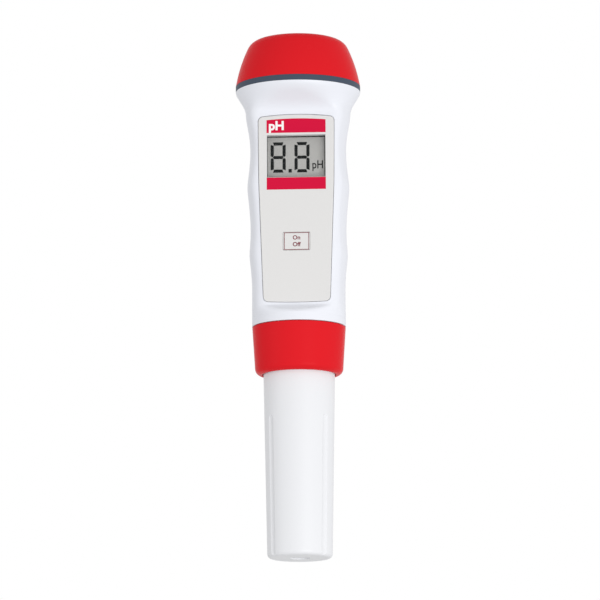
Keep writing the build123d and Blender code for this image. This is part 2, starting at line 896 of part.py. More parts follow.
def make_parts():
    parts = {
        "protective_cap": make_protective_cap(),
        "storage_sponge": make_storage_sponge(),
        "sensor_body": make_sensor_body(),
        "glass_electrode": make_glass_electrode(),
        "silver_wire": make_silver_wire(),
        "reference_wire": make_reference_wire(),
        "reference_junction": make_reference_junction(),
        "thermistor_pin": make_thermistor_pin(),
        "contact_pins": make_contact_pins(),
        "sensor_o_ring": make_ring(head_radius + ring_clearance - 2 * ring_section_radius, upper_ring_height),
        "cap_o_ring": make_ring(shoulder_radius + ring_clearance - 2 * ring_section_radius, ring_height),
        "lock_collar": make_lock_collar(),
        "housing": make_housing(),
        "front_panel": make_front_panel(),
        "window_lens": make_window_lens(),
        "on_off_key": make_on_off_key(),
        "display_glass": make_display_glass(),
        "display_frame": make_display_frame(),
        "contact_strips": make_contact_strips(),
        "main_board": make_main_board(),
        "tact_switch": make_tact_switch(),
        "tact_plunger": make_tact_plunger(),
        "controller_chip": make_chip(controller_side, controller_side, controller_drop),
        "amplifier_chip": make_chip(amplifier_width, amplifier_length, amplifier_drop),
        "trimmer_body": make_trimmer_body(),
        "trimmer_rotor": make_trimmer_rotor(),
        "board_screws": make_board_screws(),
        "inner_chassis": make_inner_chassis(),
        "battery_tray": make_battery_tray(),
        "lower_contact_leaf": make_lower_contact_leaf(),
        "upper_contact_leaf": make_upper_contact_leaf(),
        "connector_block": make_connector_block(),
        "cap_gasket": make_cap_gasket(),
        "top_cap": make_top_cap(),
    }
    for index in range(cell_count):
        parts["battery_cell_" + str(index + 1)] = make_battery_cell(index)
    return parts


os.makedirs("parts", exist_ok=True)
for name, shape in make_parts().items():
    export_step(shape, "parts/" + name + ".step")
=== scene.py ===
import math
import bmesh
import bpy
from mathutils import Matrix, Vector


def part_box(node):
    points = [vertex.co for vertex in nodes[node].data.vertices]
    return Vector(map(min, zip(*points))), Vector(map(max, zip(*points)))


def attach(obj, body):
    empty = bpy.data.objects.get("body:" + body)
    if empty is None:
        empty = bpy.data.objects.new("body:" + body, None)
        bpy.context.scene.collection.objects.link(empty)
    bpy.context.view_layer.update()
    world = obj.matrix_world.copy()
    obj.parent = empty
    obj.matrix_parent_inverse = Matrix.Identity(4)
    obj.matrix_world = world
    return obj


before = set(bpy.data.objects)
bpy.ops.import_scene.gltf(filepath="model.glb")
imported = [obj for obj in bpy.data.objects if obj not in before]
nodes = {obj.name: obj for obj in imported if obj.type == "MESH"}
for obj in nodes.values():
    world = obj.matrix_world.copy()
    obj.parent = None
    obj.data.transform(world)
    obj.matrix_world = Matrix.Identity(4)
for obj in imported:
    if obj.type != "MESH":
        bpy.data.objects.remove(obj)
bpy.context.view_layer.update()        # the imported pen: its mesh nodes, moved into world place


# Units: the scene is in metres, most settings are in mm

def mm(value):
    return value * 0.001


def inMm(value):
    return value * 1000


def middleInMm(low, high):
    return (low + high) * 500


def srgb(red, green, blue):
    # picture colour, 0 to 255, as the linear colour that a shader takes
    def toLinear(channel):
        share = channel / 255
        return share / 12.92 if share <= 0.04045 else ((share + 0.055) / 1.055) ** 2.4
    return (toLinear(red), toLinear(green), toLinear(blue), 1.0)


# Camera

view = {
    "azimuth": 3.5,         # degrees to the right of the panel
    "elevation": -10.0,     # below the pen, looking up
    "distance": 1.55,       # metres
    "pixelsPerMm": 3.27,    # at the pen's axis
    "imageSize": 600,
    "targetHeight": 80.0,   # mm up the pen's axis, the point seen at targetPixel
    "targetPixel": (298.9, 298.4),
    "roll": -0.25,          # degrees
    "sensorWidth": 36.0,    # mm
    "clipStart": 0.05,      # metres
}


def placeCamera(settings):
    azimuth = math.radians(settings["azimuth"])
    elevation = math.radians(settings["elevation"])
    outward = Vector((
        math.sin(azimuth) * math.cos(elevation),
        -math.cos(azimuth) * math.cos(elevation),
        math.sin(elevation),
    ))
    target = Vector((0, 0, mm(settings["targetHeight"])))
    data = bpy.data.cameras.new("photoCamera")
    data.sensor_width = settings["sensorWidth"]
    focalPixels = settings["pixelsPerMm"] * settings["distance"] * 1000
    data.lens = data.sensor_width * focalPixels / settings["imageSize"]
    data.clip_start = settings["clipStart"]
    middle = settings["imageSize"] / 2
    data.shift_x = (middle - settings["targetPixel"][0]) / settings["imageSize"]
    data.shift_y = (settings["targetPixel"][1] - middle) / settings["imageSize"]
    camera = bpy.data.objects.new("photoCamera", data)
    bpy.context.scene.collection.objects.link(camera)
    turn = outward.to_track_quat("Z", "Y").to_matrix().to_4x4()
    camera.matrix_world = (
        Matrix.Translation(target + outward * settings["distance"])
        @ turn @ Matrix.Rotation(math.radians(settings["roll"]), 4, "Z")
    )
    bpy.context.scene.camera = camera


placeCamera(view)
print("camera placed")


# Shader node groups shared by the materials

def newGroup(name, inputs, outputs):
    group = bpy.data.node_groups.new(name, "ShaderNodeTree")
    for label, kind, value in inputs:
        socket = group.interface.new_socket(name=label, in_out="INPUT", socket_type=kind)
        if value is not None:
            socket.default_value = value
    for label, kind in outputs:
        group.interface.new_socket(name=label, in_out="OUTPUT", socket_type=kind)
    return group, group.nodes.new("NodeGroupInput"), group.nodes.new("NodeGroupOutput")


def addNode(tree, kind, settings=None, inputs=None):
    node = tree.nodes.new(kind)
    for key, value in (settings or {}).items():
        setattr(node, key, value)
    for key, value in (inputs or {}).items():
        node.inputs[key].default_value = value
    return node


textures = {
    # noise scales are per metre
    "grain": {"fineScale": 9000.0, "slowScale": 160.0, "slowShare": 0.25},
    "tint": {"fineScale": 2600.0, "slowScale": 55.0},
    # edgeMatch: how far two normals agree where wear begins and where it is full
    "wear": {"edgeMatch": (0.995, 0.93), "patchScale": 420.0, "patchRange": (0.42, 0.62), "samples": 4},
}


def makeMouldGrain(settings):
    # fine spark-eroded texture with a slower swell under it
    group, given, result = newGroup(
        "mouldGrain",
        [("Vector", "NodeSocketVector", None), ("Scale", "NodeSocketFloat", 1.0),
         ("Roughness", "NodeSocketFloat", 0.4), ("Spread", "NodeSocketFloat", 0.06)],
        [("Height", "NodeSocketFloat"), ("Roughness", "NodeSocketFloat")],
    )
    links = group.links
    fineScale = addNode(group, "ShaderNodeMath", {"operation": "MULTIPLY"}, {1: settings["fineScale"]})
    slowScale = addNode(group, "ShaderNodeMath", {"operation": "MULTIPLY"}, {1: settings["slowScale"]})
    fine = addNode(group, "ShaderNodeTexNoise", None, {"Detail": 3.0, "Roughness": 0.6})
    slow = addNode(group, "ShaderNodeTexNoise", None, {"Detail": 4.0, "Roughness": 0.55})
    links.new(given.outputs["Scale"], fineScale.inputs[0])
    links.new(given.outputs["Scale"], slowScale.inputs[0])
    links.new(fineScale.outputs[0], fine.inputs["Scale"])
    links.new(slowScale.outputs[0], slow.inputs["Scale"])
    links.new(given.outputs["Vector"], fine.inputs["Vector"])
    links.new(given.outputs["Vector"], slow.inputs["Vector"])
    blend = addNode(group, "ShaderNodeMix", {"data_type": "FLOAT"}, {0: settings["slowShare"]})
    links.new(fine.outputs["Fac"], blend.inputs[2])
    links.new(slow.outputs["Fac"], blend.inputs[3])
    links.new(blend.outputs[0], result.inputs["Height"])
    centred = addNode(group, "ShaderNodeMath", {"operation": "SUBTRACT"}, {1: 0.5})
    spread = addNode(group, "ShaderNodeMath", {"operation": "MULTIPLY_ADD"})
    links.new(slow.outputs["Fac"], centred.inputs[0])
    links.new(centred.outputs[0], spread.inputs[0])
    links.new(given.outputs["Spread"], spread.inputs[1])
    links.new(given.outputs["Roughness"], spread.inputs[2])
    links.new(spread.outputs[0], result.inputs["Roughness"])
    return group


def makeTintDrift(settings):
    # slow colour change of a moulding, and a fine speckle over it
    group, given, result = newGroup(
        "tintDrift",
        [("Vector", "NodeSocketVector", None), ("Color", "NodeSocketColor", (0.8, 0.8, 0.8, 1.0)),
         ("Drift", "NodeSocketFloat", 0.03), ("Speckle", "NodeSocketFloat", 0.02)],
        [("Color", "NodeSocketColor")],
    )
    links = group.links
    slow = addNode(group, "ShaderNodeTexNoise", None, {"Scale": settings["slowScale"], "Detail": 3.0})
    fine = addNode(group, "ShaderNodeTexNoise", None, {"Scale": settings["fineScale"], "Detail": 2.0})
    links.new(given.outputs["Vector"], slow.inputs["Vector"])
    links.new(given.outputs["Vector"], fine.inputs["Vector"])
    shades = []
    for source, amount in ((slow, "Drift"), (fine, "Speckle")):
        centred = addNode(group, "ShaderNodeMath", {"operation": "SUBTRACT"}, {1: 0.5})
        scaled = addNode(group, "ShaderNodeMath", {"operation": "MULTIPLY"})
        links.new(source.outputs["Fac"], centred.inputs[0])
        links.new(centred.outputs[0], scaled.inputs[0])
        links.new(given.outputs[amount], scaled.inputs[1])
        shades.append(scaled)
    total = addNode(group, "ShaderNodeMath", {"operation": "ADD"})
    factor = addNode(group, "ShaderNodeMath", {"operation": "ADD"}, {1: 1.0})
    links.new(shades[0].outputs[0], total.inputs[0])
    links.new(shades[1].outputs[0], total.inputs[1])
    links.new(total.outputs[0], factor.inputs[0])
    tinted = addNode(group, "ShaderNodeVectorMath", {"operation": "SCALE"})
    links.new(given.outputs["Color"], tinted.inputs[0])
    links.new(factor.outputs[0], tinted.inputs["Scale"])
    links.new(tinted.outputs[0], result.inputs["Color"])
    return group


def rangeMask(tree, limits):
    # rises from 0 to 1 between the two limits
    return addNode(tree, "ShaderNodeMapRange", None, {
        "From Min": limits[0], "From Max": limits[1], "To Min": 0.0, "To Max": 1.0,
    })


def makeEdgeWear(settings):
    # rubbed corners: where a rounded normal leaves the true one, broken up by noise
    group, given, result = newGroup(
        "edgeWear",
        [("Vector", "NodeSocketVector", None), ("Color", "NodeSocketColor", (0.8, 0.8, 0.8, 1.0)),
         ("Worn Color", "NodeSocketColor", (0.9, 0.9, 0.9, 1.0)), ("Amount", "NodeSocketFloat", 0.3),
         ("Width", "NodeSocketFloat", 0.0003)],
        [("Color", "NodeSocketColor"), ("Mask", "NodeSocketFloat")],
    )
    links = group.links
    rounded = addNode(group, "ShaderNodeBevel", {"samples": settings["samples"]})
    true = addNode(group, "ShaderNodeNewGeometry")
    match = addNode(group, "ShaderNodeVectorMath", {"operation": "DOT_PRODUCT"})
    edge = rangeMask(group, settings["edgeMatch"])
    patches = addNode(group, "ShaderNodeTexNoise", None, {"Scale": settings["patchScale"], "Detail": 4.0})
    broken = rangeMask(group, settings["patchRange"])
    masked = addNode(group, "ShaderNodeMath", {"operation": "MULTIPLY"})
    amount = addNode(group, "ShaderNodeMath", {"operation": "MULTIPLY"})
    tinted = addNode(group, "ShaderNodeMix", {"data_type": "RGBA"})
    links.new(given.outputs["Width"], rounded.inputs["Radius"])
    links.new(rounded.outputs["Normal"], match.inputs[0])
    links.new(true.outputs["Normal"], match.inputs[1])
    links.new(match.outputs["Value"], edge.inputs["Value"])
    links.new(given.outputs["Vector"], patches.inputs["Vector"])
    links.new(patches.outputs["Fac"], broken.inputs["Value"])
    links.new(edge.outputs[0], masked.inputs[0])
    links.new(broken.outputs[0], masked.inputs[1])
    links.new(masked.outputs[0], amount.inputs[0])
    links.new(given.outputs["Amount"], amount.inputs[1])
    links.new(amount.outputs[0], tinted.inputs["Factor"])
    links.new(given.outputs["Color"], tinted.inputs["A"])
    links.new(given.outputs["Worn Color"], tinted.inputs["B"])
    links.new(tinted.outputs["Result"], result.inputs["Color"])
    links.new(amount.outputs[0], result.inputs["Mask"])
    return group


mouldGrain = makeMouldGrain(textures["grain"])
tintDrift = makeTintDrift(textures["tint"])
edgeWear = makeEdgeWear(textures["wear"])
print("node groups made")


# Materials

usualFinish = {
    "metallic": 0.0, "specular": 0.5, "coat": 0.0, "coatRoughness": 0.1, "alpha": 1.0, "ior": 1.5,
    # how much the colour drifts slowly and in fine speckles
    "drift": 0.03, "speckle": 0.02,
    # depth in mm; glossSpread is how far the roughness swings with the slow noise
    "grainScale": 1.0, "grainStrength": 0.15, "grainDepth": 0.02, "glossSpread": 0.08,
    # rubbed edges: amount, width in mm, how much rougher, the colour's share in them and added white
    "wear": 0.25, "wearWidth": 0.25, "wearDulling": 0.12, "wearColour": 0.85, "wearWhite": 0.1,
}

shaderSockets = {
    "Metallic": "metallic", "Specular IOR Level": "specular", "Coat Weight": "coat",
    "Coat Roughness": "coatRoughness", "Alpha": "alpha", "IOR": "ior",
}


def moulded(name, settings):
    # a moulded or pressed surface: drifting tint, grain in height and gloss, rubbed edges
    look = {**usualFinish, **settings}
    material = bpy.data.materials.new(name)
    material.use_nodes = True
    tree = material.node_tree
    links = tree.links
    shader = tree.nodes["Principled BSDF"]
    place = addNode(tree, "ShaderNodeTexCoord")
    tint = addNode(tree, "ShaderNodeGroup", {"node_tree": tintDrift}, {
        "Color": look["colour"], "Drift": look["drift"], "Speckle": look["speckle"],
    })
    grain = addNode(tree, "ShaderNodeGroup", {"node_tree": mouldGrain}, {
        "Scale": look["grainScale"], "Roughness": look["roughness"], "Spread": look["glossSpread"],
    })
    bump = addNode(tree, "ShaderNodeBump", None, {
        "Strength": look["grainStrength"], "Distance": mm(look["grainDepth"]),
    })
    paler = [channel * look["wearColour"] + look["wearWhite"] for channel in look["colour"][:3]] + [1.0]
    worn = addNode(tree, "ShaderNodeGroup", {"node_tree": edgeWear}, {
        "Worn Color": paler, "Amount": look["wear"], "Width": mm(look["wearWidth"]),
    })
    gloss = addNode(tree, "ShaderNodeMath", {"operation": "MULTIPLY_ADD"}, {1: look["wearDulling"]})
    for node in (tint, grain, worn):
        links.new(place.outputs["Object"], node.inputs["Vector"])
    links.new(tint.outputs["Color"], worn.inputs["Color"])
    links.new(worn.outputs["Color"], shader.inputs["Base Color"])
    links.new(worn.outputs["Mask"], gloss.inputs[0])
    links.new(grain.outputs["Roughness"], gloss.inputs[2])
    links.new(gloss.outputs[0], shader.inputs["Roughness"])
    links.new(grain.outputs["Height"], bump.inputs["Height"])
    links.new(bump.outputs["Normal"], shader.inputs["Normal"])
    for socket, key in shaderSockets.items():
        shader.inputs[socket].default_value = look[key]
    return material


finishes = {
    "whiteShell": {"colour": srgb(238, 240, 247), "roughness": 0.38, "specular": 0.35, "drift": 0.012,
                   "speckle": 0.012, "grainStrength": 0.10, "grainDepth": 0.012},
    "whiteCap": {"colour": srgb(236, 237, 240), "roughness": 0.34, "specular": 0.35, "drift": 0.012,
                 "speckle": 0.01, "grainStrength": 0.08, "grainDepth": 0.01},
    "redShell": {"colour": srgb(225, 33, 41), "roughness": 0.26, "specular": 0.03, "drift": 0.03,
                 "speckle": 0.03, "grainStrength": 0.12, "grainDepth": 0.012},
    "slateRing": {"colour": srgb(66, 78, 94), "roughness": 0.5, "specular": 0.25, "drift": 0.06,
                  "speckle": 0.08, "grainStrength": 0.2},
    "panelFilm": {"colour": srgb(226, 225, 224), "roughness": 0.52, "specular": 0.2, "drift": 0.01,
                  "speckle": 0.03, "grainStrength": 0.18, "grainScale": 0.7},
    "clearLens": {"colour": srgb(140, 142, 142), "roughness": 0.04, "specular": 0.5, "drift": 0.0,
                  "speckle": 0.0, "grainStrength": 0.01, "alpha": 0.03, "wear": 0.0},
    "displayCell": {"colour": srgb(186, 185, 182), "roughness": 0.35, "specular": 0.25, "drift": 0.04,
                    "speckle": 0.06, "grainStrength": 0.05},
    # the figures' dark ink, also used for the painted window shadow strips on the display
    "displayInkAndShadow": {"colour": srgb(12, 16, 17), "roughness": 0.6, "specular": 0.02, "wear": 0.0,
                   "drift": 0.1, "speckle": 0.1, "grainStrength": 0.05},
    "crimsonInk": {"colour": srgb(213, 12, 60), "roughness": 0.42, "specular": 0.12, "drift": 0.03,
                   "speckle": 0.04, "grainStrength": 0.12, "grainScale": 0.7},
    "whiteInk": {"colour": srgb(250, 248, 248), "roughness": 0.5, "drift": 0.01, "speckle": 0.02,
                 "grainStrength": 0.1},
    "darkRedInk": {"colour": srgb(122, 28, 46), "roughness": 0.5, "specular": 0.1, "drift": 0.05,
                   "speckle": 0.08, "grainStrength": 0.1},
    "blackPlastic": {"colour": srgb(34, 35, 38), "roughness": 0.5, "drift": 0.08, "speckle": 0.08,
                     "grainStrength": 0.3},
    "stripRubber": {"colour": srgb(176, 96, 104), "roughness": 0.7, "drift": 0.1, "speckle": 0.1,
                    "grainStrength": 0.3},
    "solderResist": {"colour": srgb(24, 96, 52), "roughness": 0.32, "drift": 0.08, "speckle": 0.1,
                     "grainStrength": 0.2, "coat": 0.3},
    "chipResin": {"colour": srgb(38, 38, 40), "roughness": 0.62, "drift": 0.08, "speckle": 0.15,
                  "grainStrength": 0.4},
    "trimmerBlue": {"colour": srgb(36, 92, 178), "roughness": 0.4, "drift": 0.05, "speckle": 0.05,
                    "grainStrength": 0.2},
    "brassPlate": {"colour": srgb(214, 178, 96), "roughness": 0.3, "metallic": 1.0, "drift": 0.08,
                   "speckle": 0.08, "grainStrength": 0.2},
    "steelPlate": {"colour": srgb(190, 192, 196), "roughness": 0.3, "metallic": 1.0, "drift": 0.06,
                   "speckle": 0.06, "grainStrength": 0.2},
    "cellSteel": {"colour": srgb(205, 206, 208), "roughness": 0.22, "metallic": 1.0, "drift": 0.05,
                  "speckle": 0.05, "grainStrength": 0.15},
    "trayPlastic": {"colour": srgb(92, 95, 100), "roughness": 0.5, "drift": 0.05, "speckle": 0.06,
                    "grainStrength": 0.3},
    "sensorPlastic": {"colour": srgb(228, 230, 233), "roughness": 0.34, "drift": 0.02, "speckle": 0.02,
                      "grainStrength": 0.12},
    "silverWire": {"colour": srgb(150, 146, 142), "roughness": 0.5, "metallic": 1.0, "drift": 0.15,
                   "speckle": 0.2, "grainStrength": 0.3},
    "ceramicPlug": {"colour": srgb(238, 236, 228), "roughness": 0.75, "drift": 0.05, "speckle": 0.08,
                    "grainStrength": 0.4},
    "sealRubber": {"colour": srgb(30, 30, 32), "roughness": 0.55, "drift": 0.06, "speckle": 0.1,
                   "grainStrength": 0.25},
    "spongeFoam": {"colour": srgb(232, 222, 160), "roughness": 0.9, "drift": 0.12, "speckle": 0.3,
                   "grainStrength": 0.9, "grainScale": 0.12, "grainDepth": 0.2},
    "solder": {"colour": srgb(196, 198, 200), "roughness": 0.28, "metallic": 1.0, "drift": 0.1,
               "speckle": 0.1, "grainStrength": 0.3, "grainScale": 0.5},
    "resistorGlaze": {"colour": srgb(30, 30, 34), "roughness": 0.3, "drift": 0.1, "speckle": 0.1,
                      "grainStrength": 0.2},
    "capacitorClay": {"colour": srgb(176, 142, 98), "roughness": 0.55, "drift": 0.1, "speckle": 0.15,
                      "grainStrength": 0.3},
    "bulbGlass": {"colour": srgb(236, 244, 246), "roughness": 0.03, "specular": 0.6, "drift": 0.0,
                  "speckle": 0.0, "grainStrength": 0.01, "alpha": 0.35},
}

materials = {name: moulded(name, settings) for name, settings in finishes.items()}

nodeFinish = {
    "whiteShell": ["housing"],
    "whiteCap": ["protective_cap"],
    "redShell": ["top_cap", "lock_collar"],
    "slateRing": ["cap_gasket"],
    "panelFilm": ["front_panel", "on_off_key"],
    "clearLens": ["window_lens"],
    "displayCell": ["display_glass"],
    "blackPlastic": ["display_frame", "inner_chassis", "connector_block", "tact_switch", "tact_plunger"],
    "stripRubber": ["contact_strips"],
    "solderResist": ["main_board"],
    "chipResin": ["controller_chip", "amplifier_chip"],
    "trimmerBlue": ["trimmer_body"],
    "brassPlate": ["trimmer_rotor", "contact_pins"],
    "steelPlate": ["board_screws", "thermistor_pin", "lower_contact_leaf", "upper_contact_leaf"],
    "cellSteel": ["battery_cell_1", "battery_cell_2", "battery_cell_3", "battery_cell_4"],
    "trayPlastic": ["battery_tray"],
    "sensorPlastic": ["sensor_body"],
    "bulbGlass": ["glass_electrode"],
    "silverWire": ["silver_wire", "reference_wire"],
    "ceramicPlug": ["reference_junction"],
    "sealRubber": ["sensor_o_ring", "cap_o_ring"],
    "spongeFoam": ["storage_sponge"],
}

for finish, members in nodeFinish.items():
    for member in members:
        mesh = nodes[member].data
        mesh.materials.clear()
        mesh.materials.append(materials[finish])
print("materials on", len(nodes), "nodes")


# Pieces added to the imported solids

def hangPiece(name, mesh, body):
    # puts a mesh into the scene as a piece that moves with a body
    piece = bpy.data.objects.new(name, mesh)
    bpy.context.scene.collection.objects.link(piece)
    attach(piece, body)


def addPiece(name, vertices, faces, material, body):
    mesh = bpy.data.meshes.new(name)
    mesh.from_pydata(vertices, [], faces)
    mesh.update()
    mesh.materials.append(materials[material])
    hangPiece(name, mesh, body)


def inkPlate(outline, front, thickness):
    # vertices and faces of a thin plate facing -Y from an outline of (x, z) in mm, anticlockwise
    count = len(outline)
    near = [(mm(x), mm(front), mm(z)) for x, z in outline]
    far = [(mm(x), mm(front + thickness), mm(z)) for x, z in outline]
    faces = [tuple(range(count)), tuple(reversed(range(count, 2 * count)))]
    for index in range(count):
        after = (index + 1) % count
        faces.append((index, index + count, after + count, after))
    return near + far, faces


def addStrips(strips, middle, front, thickness, material, body):
    # rectangles by name, each given by its x limits and its z limits about the middle height
    for name, (x0, x1, z0, z1) in strips.items():
        low, high = middle + z0, middle + z1
        outline = [(x0, low), (x1, low), (x1, high), (x0, high)]
        vertices, faces = inkPlate(outline, front, thickness)
        addPiece(name, vertices, faces, material, body)


# Prints on the panel, the key and the display, and painted window shadow on the display

panelFront = inMm(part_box("front_panel")[0].y)
glassLow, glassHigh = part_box("display_glass")
glassMiddle = middleInMm(glassLow.z, glassHigh.z)
glassFront = inMm(glassLow.y)
keyLow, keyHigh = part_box("on_off_key")
keyMiddle = middleInMm(keyLow.z, keyHigh.z)

bands = {
    "width": 18.07,
    "windowHeight": 13.2,
    "upperGap": 0.65,       # pale line between the window and the upper band
    "upperHeight": 4.0,
    "upperBow": 0.42,       # rise of the upper band's arched top
    "archSteps": 24,
    "lowerGap": 0.06,
    "lowerHeight": 3.75,
    "inkThickness": 0.02,
}


def addBands(settings):
    half = settings["width"] / 2
    windowHalf = settings["windowHeight"] / 2
    front = panelFront - settings["inkThickness"]
    low = glassMiddle + windowHalf + settings["upperGap"]
    high = low + settings["upperHeight"]
    arch = []
    for step in range(settings["archSteps"] + 1):
        x = half - 2 * half * (step / settings["archSteps"])
        arch.append((x, high + settings["upperBow"] * (1 - (x / half) ** 2)))
    upper = [(-half, low), (half, low)] + arch
    vertices, faces = inkPlate(upper, front, settings["inkThickness"])
    addPiece("upperBand", vertices, faces, "crimsonInk", "housing")
    top = glassMiddle - windowHalf - settings["lowerGap"]
    lower = {"lowerBand": (-half, half, -settings["lowerHeight"], 0.0)}
    addStrips(lower, top, front, settings["inkThickness"], "crimsonInk", "housing")
    return low, high


upperBandLow, upperBandHigh = addBands(bands)


def addWords(name, words, settings, spot, material, body):
    # flat lettering that faces -Y; spot is the middle's x, the front's y and the middle's z, in mm
    x, front, z = spot
    curve = bpy.data.curves.new(name, "FONT")
    curve.body = words
    curve.size = mm(settings["size"])
    curve.align_x = "CENTER"
    curve.align_y = "CENTER"
    curve.offset = mm(settings["boldness"])
    curve.extrude = mm(settings["thickness"] / 2)
    curve.resolution_u = 6
    holder = bpy.data.objects.new(name + "Curve", curve)
    bpy.context.scene.collection.objects.link(holder)
    bpy.context.view_layer.update()
    depsgraph = bpy.context.evaluated_depsgraph_get()
    mesh = bpy.data.meshes.new_from_object(holder.evaluated_get(depsgraph))
    bpy.data.objects.remove(holder)
    upright = Matrix.Rotation(math.radians(90), 4, "X")
    place = Matrix.Translation((mm(x), mm(front + settings["thickness"] / 2), mm(z)))
    squeeze = Matrix.Diagonal((settings["widthScale"], 1.0, 1.0, 1.0))
    mesh.transform(place @ upright @ squeeze)
    mesh.materials.clear()
    mesh.materials.append(materials[material])
    hangPiece(name, mesh, body)


bandWords = {"size": 3.8, "boldness": 0.14, "thickness": 0.03, "widthScale": 1.03,
             "x": -6.0, "aboveMiddle": 0.1, "standOff": 0.05}
bandWordsSpot = (bandWords["x"], panelFront - bandWords["standOff"],
                 (upperBandLow + upperBandHigh) / 2 + bandWords["aboveMiddle"])
addWords("bandLetters", "pH", bandWords, bandWordsSpot, "whiteInk", "housing")

keyPrint = {
    "width": 7.62, "height": 5.35, "line": 0.18, "ink": 0.02,
    "spread": 1.05,         # of each word's middle from the key's middle
    "words": {"size": 1.8, "boldness": 0.035, "thickness": 0.02, "widthScale": 1.0},
}


def addKeyPrint(settings):
    front = panelFront - settings["ink"]
    outerX, outerZ = settings["width"] / 2, settings["height"] / 2
    line = settings["line"]
    strips = {
        "keyLineTop": (-outerX, outerX, outerZ - line, outerZ),
        "keyLineBottom": (-outerX, outerX, -outerZ, -outerZ + line),
        "keyLineLeft": (-outerX, -outerX + line, -outerZ + line, outerZ - line),
        "keyLineRight": (outerX - line, outerX, -outerZ + line, outerZ - line),
    }
    addStrips(strips, keyMiddle, front, settings["ink"], "darkRedInk", "key")
    for name, words, side in (("keyWordOn", "On", 1), ("keyWordOff", "Off", -1)):
        spot = (0.0, front, keyMiddle + side * settings["spread"])
        addWords(name, words, settings["words"], spot, "darkRedInk", "key")


addKeyPrint(keyPrint)
print("panel printed")

digit = {
    "width": 4.62, "height": 9.45, "stroke": 0.98, "gap": 0.06, "chamfer": 0.66,
    "tip": 0.62,            # how far in the middle bar's points end, as a share of the stroke
    "places": (-5.66, 1.64), "drop": 0.06, "ink": 0.02, "standOff": 0.03,
    "dotX": -2.0, "dotSize": (0.98, 1.12),
}


def segmentOutlines(settings):
    # the seven bars of one figure, as outlines about its middle, the corners of the figure cut off
    halfX, halfZ = settings["width"] / 2, settings["height"] / 2
    bar, gap, cut = settings["stroke"], settings["gap"], settings["chamfer"]
    top = [(-halfX + cut + gap, halfZ), (halfX - cut - gap, halfZ),
           (halfX - bar - gap, halfZ - bar), (-halfX + bar + gap, halfZ - bar)]
    side = [(-halfX, halfZ - cut - gap), (-halfX + bar, halfZ - bar - gap),
            (-halfX + bar, bar / 2 + gap), (-halfX + bar / 2, gap), (-halfX, bar / 2 + gap)]
    tip = halfX - bar * settings["tip"] - gap
    middle = [(-halfX + bar + gap, bar / 2), (-tip, 0), (-halfX + bar + gap, -bar / 2),
              (halfX - bar - gap, -bar / 2), (tip, 0), (halfX - bar - gap, bar / 2)]
    outlines = [top, [(x, -z) for x, z in top], middle]
    for flipX in (1, -1):
        for flipZ in (1, -1):
            outlines.append([(x * flipX, z * flipZ) for x, z in side])
    return outlines


def anticlockwise(outline):
    area = sum(x0 * z1 - x1 * z0 for (x0, z0), (x1, z1) in zip(outline, outline[1:] + outline[:1]))
    return outline if area > 0 else outline[::-1]


def addFigures(settings):
    front = glassFront - settings["standOff"]
    for number, place in enumerate(settings["places"]):
        vertices, faces = [], []
        for outline in segmentOutlines(settings):
            moved = [(x + place, z + glassMiddle + settings["drop"]) for x, z in anticlockwise(outline)]
            more, moreFaces = inkPlate(moved, front, settings["ink"])
            shift = len(vertices)
            vertices += more
            faces += [tuple(index + shift for index in face) for face in moreFaces]
        addPiece("figure" + str(number + 1), vertices, faces, "displayInkAndShadow", "housing")
    dotX, dotZ = settings["dotSize"]
    low = glassMiddle + settings["drop"] - settings["height"] / 2
    dot = {"figureDot": (settings["dotX"] - dotX / 2, settings["dotX"] + dotX / 2, 0.0, dotZ)}
    addStrips(dot, low, front, settings["ink"], "displayInkAndShadow", "housing")


addFigures(digit)
unitWords = {"size": 3.6, "boldness": 0.04, "thickness": 0.02, "widthScale": 0.8,
             "x": 6.45, "belowMiddle": 2.4, "standOff": 0.03}
unitWordsSpot = (unitWords["x"], glassFront - unitWords["standOff"],
                 glassMiddle - unitWords["belowMiddle"])
addWords("displayUnit", "pH", unitWords, unitWordsSpot, "displayInkAndShadow", "housing")

# strip widths in mm, by side, of the painted shadow that the window's edges cast on the display cell
displayPaintedShadow = {"top": 0.32, "right": 0.5, "left": 0.12, "bottom": 0.08, "ink": 0.02, "standOff": 0.05}


def addDisplayPaintedShadow(settings):
    # painted shadow: dark strips on the display cell where the window's edges shade it, widest at the top
    # and the right
    front = glassFront - settings["standOff"]
    halfX, halfZ = bands["width"] / 2, bands["windowHeight"] / 2
    strips = {
        "shadeTop": (-halfX, halfX, halfZ - settings["top"], halfZ),
        "shadeBottom": (-halfX, halfX, -halfZ, -halfZ + settings["bottom"]),
        "shadeLeft": (-halfX, -halfX + settings["left"], -halfZ, halfZ),
        "shadeRight": (halfX - settings["right"], halfX, -halfZ, halfZ),
    }
    addStrips(strips, glassMiddle, front, settings["ink"], "displayInkAndShadow", "housing")


addDisplayPaintedShadow(displayPaintedShadow)
print("display figures made")


# Screw threads, which show when the cap or the collar is turned open

threadForm = {
    "stepsPerTurn": 96, "root": 0.5, "crest": 0.2,
    "runOut": 0.125,        # turns at each end
    "leastShare": 0.04,     # of the depth that is left at the very ends
    "sink": 0.02,           # into the wall
}
threads = {
    "mouthThread": {"radius": 16.35, "low": 145.2, "lead": 2.05, "turns": 2.0, "depth": 0.17},
    "spigotThread": {"radius": 12.0, "low": 63.2, "lead": 2.067, "turns": 3.4, "depth": 0.24},
}


